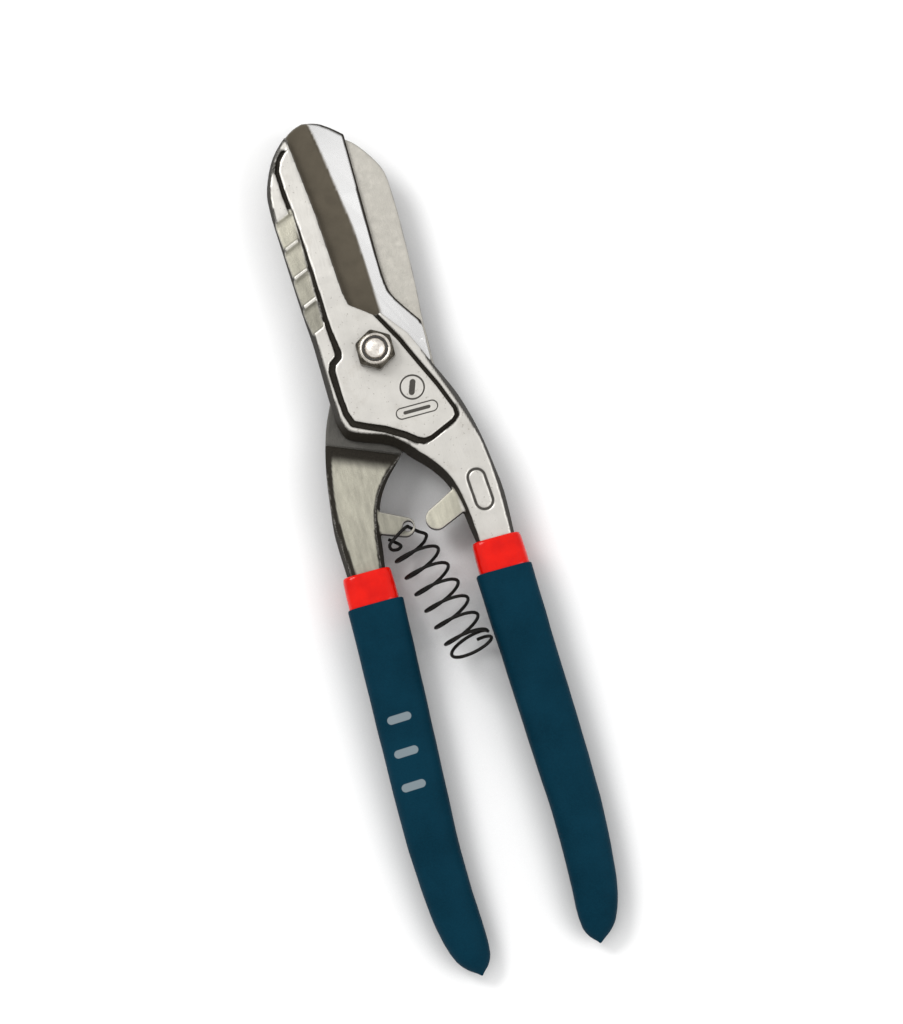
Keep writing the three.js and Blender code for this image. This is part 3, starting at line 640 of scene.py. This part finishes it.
def paint_zones(s):
    """Works out where the forging is ground, blacked, left rough or brown, point by point."""
    bright, channel, notches, dark = upper_zones(s)
    along = s.x * math.sin(STEP_ANGLE) - s.y * math.cos(STEP_ANGLE)
    under = ramp(0.2, 0.5, -s.up)
    past_step = ramp(*STEP_AT, along)
    lap = under * (1 - past_step)
    cast = under * past_step
    step_shade = cast * (1 - ramp(29.5, 38, along)) ** 1.3
    low, high = LUG_Y
    lug = ramp(low, low + 0.5, s.y) * (1 - ramp(high - 0.5, high, s.y)) * (np.abs(s.z) < LUG_HEIGHT)
    lug = lug * (1 - ramp(*LUG_X, s.x)) * (np.abs(s.up) > 0.4)

    lines = seams(s, bright, cast, lug)
    dark = np.maximum.reduce([dark, lines, step_shade * 0.95]) * (1 - lug)
    cast = np.maximum.reduce([cast, notches, lug])
    tone = tones(s, bright, cast, notches, lap, lug)
    dark, channel, cast = s.evened(dark, channel, cast)
    bright, = s.evened(bright)
    dark = ramp(0.15, 0.85, dark)
    zones = {"dark": dark, "umber": channel, "cast": cast, "bright": bright,
             "lap": lap, "edge": edge_wear_and_highlight(s), "tone": tone}
    for name, values in zones.items():
        write_zone(s.mesh, name, values)
    rough = np.maximum(cast, lap * 0.4) * (1 - ramp(0.9, 1, dark))
    s.move(forge_scale(s, rough))


def make_forging(node, turned, steel):
    """The seen part of a half in a fine mesh, and its tang, which the handle hides, as it is."""
    cut_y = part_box("left_sleeve")[1].y - TANG_HIDDEN * MM
    forging = part_of(node, node + "_forging", cut_y, upper=True)
    refine(forging)
    paint_zones(Surface(forging.data, turned))
    tang = part_of(node, node + "_tang", cut_y, upper=False)
    for name in ("cast", "tone"):
        write_zone(tang.data, name, np.ones(len(tang.data.vertices)))
    for piece in (forging, tang):
        piece.data.materials.clear()
        piece.data.materials.append(steel)
        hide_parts(node)
    return forging, tang


# ---- dipped handles -----------------------------------------------------------------

KNOTS = (0.1, 0.22, 0.35, 0.5, 0.64, 0.76, 0.85, 0.89)  # parts of a handle's length
DIP_SWELL = 0.35 * MM  # how much fuller the dip runs on the inner side
GRIP_LIP = ((0, 0.9), (0.02, 0.45), (0.12, 0.18), (0.3, 0.05), (0.6, 0))  # depth, inset
SLEEVE_LIP = ((0, 1.0), (0.02, 0.7), (0.12, 0.38), (0.35, 0.16), (0.7, 0.04), (1.1, 0))
SLEEVE_TUCK = ((0.3, 0.15), (0.32, 0.6), (0.34, 1.5))  # where it goes in under the grip
# How the end of a grip draws in: millimetres from the end, part of the full size.
END_SHAPE = ((0, 0.15, 0.5, 1.0, 1.8, 2.6, 4, 5.5, 8.4, 12, 16, 20),
             (0.015, 0.06, 0.11, 0.2, 0.36, 0.5, 0.67, 0.79, 0.9, 0.965, 0.99, 1))
END_ASIDE = 1.3 * MM  # how far the end's point lies towards the inner side
SLEEVE_POWER = 4.2


class Handle:
    """Measures a CAD handle layer: its middle and half sizes at any station along it."""

    def __init__(self, node):
        mesh = frame["nodes"][node].data
        mesh.calc_loop_triangles()
        points = [v.co.copy() for v in mesh.vertices]
        self.tree = BVHTree.FromPolygons(points, [t.vertices for t in mesh.loop_triangles])
        self.low, self.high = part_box(node)
        self.end, self.mouth = self.low.y, self.high.y
        self.side = 1 if self.low.x + self.high.x > 0 else -1
        knots = [self.mouth + part * (self.end - self.mouth) for part in KNOTS]
        self.knots = np.array([self.mouth - 0.4 * MM, *knots][::-1])
        self.values = np.array([self.measure(y) for y in self.knots])

    def hit(self, start, way):
        return self.tree.ray_cast(Vector(start), Vector(way))[0]

    def measure(self, y):
        outside = 10 * MM
        left = self.hit((self.low.x - outside, y, SHEAR_Z), (1, 0, 0)).x
        right = self.hit((self.high.x + outside, y, SHEAR_Z), (-1, 0, 0)).x
        middle = (left + right) / 2
        top = self.hit((middle, y, self.high.z + outside), (0, 0, -1)).z
        return middle, (right - left) / 2, top - SHEAR_Z

    def at(self, y):
        """Middle, half width and half thickness at y, on a smooth line through the knots."""
        last = len(self.knots) - 1
        k = int(np.clip(np.searchsorted(self.knots, y) - 1, 0, last - 1))
        t = (y - self.knots[k]) / (self.knots[k + 1] - self.knots[k])
        p1, p2 = self.values[k], self.values[k + 1]
        p0 = self.values[k - 1] if k else 2 * p1 - p2
        p3 = self.values[k + 2] if k + 2 <= last else 2 * p2 - p1
        if t < 0:
            return p1 + (p2 - p0) / 2 * t
        return smooth_between(p0, p1, p2, p3, t)


def squared_ring(middle, half_width, half_thickness, y, power, sides=64):
    """A rounded-square section across a handle."""
    angles = around(sides) + math.pi / sides
    cos, sin = np.cos(angles), np.sin(angles)
    reach = (np.abs(cos) ** power + np.abs(sin) ** power) ** (-1 / power)
    return np.stack([middle + half_width * cos * reach, np.full(sides, y),
                     SHEAR_Z + half_thickness * sin * reach], 1)


def make_wavy(rings, depth, size, seed):
    """Moves a skin in and out a little, as a hand-dipped one is."""
    shift = Vector((seed, seed * 2.3, 0))
    for ring in rings:
        middle = ring.mean(0)
        for point in ring:
            out = Vector(point - middle).normalized()
            point += np.array(out) * depth * noise.noise(Vector(point) / size + shift)


def make_grip(side, material):
    handle = Handle(side + "_grip")
    lip = GRIP_LIP[-1][0] * MM
    length = handle.mouth - handle.end
    rings = []

    def add_ring(y, power, inset=0.0, scale=1.0, aside=0.0):
        middle, width, thick = handle.at(y)
        middle -= handle.side * (DIP_SWELL + aside)
        width = (width + DIP_SWELL) * scale - inset
        rings.append(squared_ring(middle, width, thick * scale - inset, y, power))

    for depth, inset in GRIP_LIP:
        add_ring(handle.mouth - depth * MM, 4, inset * MM)
    steps = 130
    for i in range(1, steps + 1):
        part = 1 - (1 - i / steps) ** 1.6
        y = handle.mouth - lip - part * (length - lip)
        left = (y - handle.end) / MM
        power = 4 - 1.3 * min(1, (handle.mouth - y) / (0.6 * length)) - 0.7 * max(0, 1 - left / 10)
        aside = END_ASIDE * max(0, 1 - left / 22) ** 2
        add_ring(y, power, scale=np.interp(left, *END_SHAPE), aside=aside)
    make_wavy(rings, 0.12 * MM, 9 * MM, 1.3 if side == "left" else 4.1)
    piece = loft(side + "_grip_dip", rings, material)
    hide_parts(side + "_grip")
    return piece


def make_sleeve(side, material):
    sleeve = Handle(side + "_sleeve")
    grip_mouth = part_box(side + "_grip")[1].y
    shown = sleeve.mouth - grip_mouth
    top = np.array(sleeve.measure(sleeve.mouth - 0.8 * MM))
    bottom = np.array(sleeve.measure(grip_mouth + 0.6 * MM))
    rings = []

    def add_ring(y, size, inset=0.0):
        middle, width, thick = size
        rings.append(squared_ring(middle, width - inset, thick - inset, y, SLEEVE_POWER))

    def add_shown(t, inset):
        add_ring(sleeve.mouth - t * shown, top + (bottom - top) * t, inset)

    for depth, inset in SLEEVE_LIP:
        add_shown(depth * MM / shown, inset * MM)
    lip = SLEEVE_LIP[-1][0] * MM / shown
    for i in range(1, 21):
        t = lip + (1 - lip) * i / 20
        add_shown(t, -0.1 * MM * math.sin(math.pi * t))
    for depth, inset in SLEEVE_TUCK:
        add_ring(grip_mouth - depth * MM, bottom, inset * MM)
    first, last = grip_mouth - 2 * MM, sleeve.end + 3 * MM
    for i in range(1, 30):
        y = first + (last - first) * i / 29
        middle, width, thick = sleeve.at(y)
        scale = math.sqrt(max(0.02, 1 - max(0, 1 - (y - last) / (10 * MM)) ** 2))
        width, thick = ((size - 0.8 * MM) * scale for size in (width, thick))
        rings.append(squared_ring(middle, width, thick, y, 3.4))
    make_wavy(rings, 0.05 * MM, 6 * MM, 2.2 if side == "left" else 7.7)
    piece = loft(side + "_sleeve_dip", rings, material)
    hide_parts(side + "_sleeve")
    return piece


# ---- pivot --------------------------------------------------------------------------
# Millimetres, with heights over the shear plane.

BOLT_RADIUS = 2.9
THREAD_RADIUS = 2.8
THREAD_DEPTH = 0.14
THREAD_TURNS = 10
DOME = 0.9
HEAD_HEIGHT = 4
HEX_HEIGHT = 4.3
COLLAR_OUTER = 4.6
COLLAR_INNER = 3.75
CORNER_ROUND = 0.12  # how much is worn off a hexagon's corners
FACE_INSET = 0.35  # hexagon's flats to its round face


def hexagon_body(name, flats, low, high, chamfer, material, both=False):
    """A hexagon prism with its top corners turned off, or both ends' corners."""
    sides = 96
    sixth = math.pi / 3
    reach = flats / 2 / np.cos((around(sides) + sixth / 2) % sixth - sixth / 2)
    corner = flats / 2 / math.cos(sixth / 2)
    face = flats / 2 - FACE_INSET

    def ring(limit, z, inset=0.0):
        radius = np.minimum(np.minimum(reach, corner - CORNER_ROUND), limit) - inset
        cos, sin = np.cos(around(sides)), np.sin(around(sides))
        return np.stack([radius * cos, radius * sin, np.full(sides, z)], 1)

    parts = [i / 8 for i in range(9)]
    if both:
        rings = [ring(face + (corner - face) * t, low + chamfer * t) for t in parts[:-1]]
    else:
        rings = [ring(corner, low, 0.15), ring(corner, low + 0.12)]
    rings += [ring(face + (corner - face) * t, high - chamfer * t) for t in reversed(parts)]
    rings.append(ring(flats / 2 - 1.2, high))
    return loft(name, [r * MM + np.array([0, 0, SHEAR_Z]) for r in rings], material)


def make_nut():
    """The nut's hexagon, its rolled collar and the nylon ring in it."""
    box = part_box("lock_nut")
    low, high = ((corner.z - SHEAR_Z) / MM for corner in box)
    hex_top = low + HEX_HEIGHT
    inner, outer = COLLAR_INNER, COLLAR_OUTER
    flats = (box[1].x - box[0].x) / MM
    # The hexagon takes the dark copy of the nut's steel, as painted shade, and the collar the light
    # copy, as a painted highlight.
    nut = hexagon_body("nut_hexagon", flats, low, hex_top, 1.0, SHADED_NUT_STEEL)
    collar = lathe("nut_collar", [
        (inner, hex_top - 0.6), (outer + 0.1, hex_top - 0.6), (outer + 0.1, hex_top + 0.1),
        (outer, hex_top + 0.35), (outer - 0.02, high - 0.55), (outer - 0.12, high - 0.25),
        (outer - 0.32, high - 0.06), (outer - 0.5, high), (inner + 0.18, high - 0.04),
        (inner + 0.02, high - 0.2), (inner, high - 0.5)], HIGHLIT_PLATED)
    bore = THREAD_RADIUS + 0.12
    insert = lathe("nut_nylon", [
        (bore, high - 1.9), (inner - 0.03, high - 1.9), (inner - 0.03, high - 0.5),
        (inner - 0.25, high - 0.38), (bore + 0.18, high - 0.42), (bore, high - 0.6)], NYLON)
    for piece, node in ((nut, "lock_nut"), (collar, "lock_nut"), (insert, "nut_insert")):
        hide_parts(node)
    return [(nut, "plated_steel"), (collar, "plated_steel"), (insert, "nylon")]


def make_bolt():
    """The bolt's threaded and domed end, its hexagon head and the stem between them."""
    nut_low, nut_high = ((corner.z - SHEAR_Z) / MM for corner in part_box("lock_nut"))
    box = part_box("pivot_bolt")
    low, high = ((corner.z - SHEAR_Z) / MM for corner in box)
    first, last = nut_high - 2.0, high - DOME
    half_turns = THREAD_TURNS * 2
    thread = [(THREAD_RADIUS - THREAD_DEPTH * (i % 2), first + i * (last - first) / half_turns)
              for i in range(half_turns + 1)]
    dome = [(THREAD_RADIUS * math.cos(a), last + DOME * math.sin(a))
            for a in np.linspace(0.12, 1.5, 9)]
    end = lathe("bolt_end", [(THREAD_RADIUS, nut_low), *thread, *dome], BOLT)
    flats = (box[1].x - box[0].x) / MM
    head = hexagon_body("bolt_head", flats, low, low + HEAD_HEIGHT, 0.7, BOLT, both=True)
    stem = [(BOLT_RADIUS, low + HEAD_HEIGHT - 0.1), (BOLT_RADIUS, nut_low + 0.3)]
    pieces = [end, head, lathe("bolt_stem", stem, BOLT)]
    for piece in pieces:
        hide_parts("pivot_bolt")
    return [(piece, "bolt_steel") for piece in pieces]


# ---- return spring ------------------------------------------------------------------
# Millimetres, with heights over the shear plane.

SPRING_LEAN = math.radians(15.1)  # from -Y towards +X
SPRING_RISE = math.radians(8)
SPRING_START = (-4.95, -56.3, 0)
SPRING_RADIUS = 6.3
WIRE_RADIUS = 0.5
OPEN_TURNS = 6
OPEN_PITCH = 5.76
END_TURNS = 1.2
END_PITCH = 2.0
END_TILT = 3.2  # how far the end turn leans along the axis, each side
HOOK = ((-10.8, -53.4, -3.2), (-9.2, -54.6, -3.2), (-7.7, -56.3, -1.7), (-8.8, -57.3, 0.2),
        (-10.6, -57.1, 1.8), (-10.8, -55.7, 3.0), (-8.6, -54.0, 3.3), (-6.2, -52.5, 3.2),
        (-4.6, -51.7, 1.9), (-4.2, -51.6, 0), (-3.6, -51.9, -2.4), (-1.6, -53.4, -3.7),
        (0.4, -54.9, -4.1))


def smooth_line(points, parts, after):
    """Points on a smooth curve through a list, leading on to the point after it."""
    points = [2 * points[0] - points[1], *points, after, after]
    return [smooth_between(*points[k - 1:k + 3], i / parts)
            for k in range(1, len(points) - 2) for i in range(parts)]


def spring_line():
    """The wire's middle line: the hook round the lug's eye, then the turns."""
    lean_cos, lean_sin = math.cos(SPRING_LEAN), math.sin(SPRING_LEAN)
    flat = np.array([lean_sin, -lean_cos, 0])
    up = np.array([0, 0, 1])
    along = flat * math.cos(SPRING_RISE) + up * math.sin(SPRING_RISE)
    upright = up * math.cos(SPRING_RISE) - flat * math.sin(SPRING_RISE)
    across = np.array([lean_cos, lean_sin, 0])
    steps = 28
    turns = []
    for i in range(4, int((OPEN_TURNS + END_TURNS) * steps) + 1):
        turn = i / steps
        opened = min(turn, OPEN_TURNS)
        angle = 2 * math.pi * turn
        tilt = END_TILT * math.sin(angle) if turn > OPEN_TURNS else 0
        advance = opened * OPEN_PITCH + (turn - opened) * END_PITCH - tilt
        out = across * math.cos(angle) - upright * math.sin(angle)
        turns.append(np.array(SPRING_START) + along * advance + out * SPRING_RADIUS)
    return smooth_line([np.array(p) for p in HOOK], 8, turns[0]) + turns


def make_spring(material):
    line = [Vector(p) * MM + Vector((0, 0, SHEAR_Z)) for p in spring_line()]
    side = Vector((0, 0, 1))
    rings = []
    for i, point in enumerate(line):
        ahead = (line[min(i + 1, len(line) - 1)] - line[max(i - 1, 0)]).normalized()
        side = (side - ahead * side.dot(ahead)).normalized()
        other = ahead.cross(side)
        rings.append(np.array([point + (side * math.cos(a) + other * math.sin(a)) * WIRE_RADIUS * MM
                               for a in around(14)]))
    piece = loft("spring_wire", rings, material)
    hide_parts("return_spring")
    return piece


# ---- floor --------------------------------------------------------------------------

def make_floor():
    """A floor that the lying tool touches with its bolt head and the ends of its grips."""
    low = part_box("left_grip")[0]
    touching = -low.y - 14 * MM
    slope = low.z / touching
    half = 3.0
    corners = ((-half, -half), (half, -half), (half, half), (-half, half))
    points = [(x, y, -y * slope - 0.05 * MM) for x, y in corners]
    mesh_object("floor", points, [(0, 1, 2, 3)], floor_material(), smooth=False)


make_camera()
make_light()
STEEL = forged_steel()
RED = red_dip()
TEAL = teal_dip()
WIRE = spring_wire()
# The nut's one steel comes in a light copy for its collar and a dark copy for its hexagon: painted
# highlight and painted shade.
HIGHLIT_PLATED = plated_steel("plated_steel", (0.72, 0.68, 0.62), (0.5, 0.47, 0.43), 0.18)
SHADED_NUT_STEEL = plated_steel("nut_steel_shaded", (0.1, 0.09, 0.072), (0.035, 0.03, 0.023), 0.25)
BOLT = plated_steel("bolt_steel", (0.85, 0.8, 0.74), (0.62, 0.57, 0.52), 0.25)
NYLON = nylon()

for node, turned, body in (("front_half", False, "front_body"), ("back_half", True, "back_body")):
    for piece in make_forging(node, turned, STEEL):
        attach(piece, body)
for side, body in (("right", "front_body"), ("left", "back_body")):
    for piece, slot in ((make_grip(side, TEAL), "teal_dip"), (make_sleeve(side, RED), "red_dip")):
        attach(piece, body)
for piece, slot in [*make_nut(), *make_bolt()]:
    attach(piece, "back_body")
spring = make_spring(WIRE)
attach(spring, "spring_body")
make_floor()
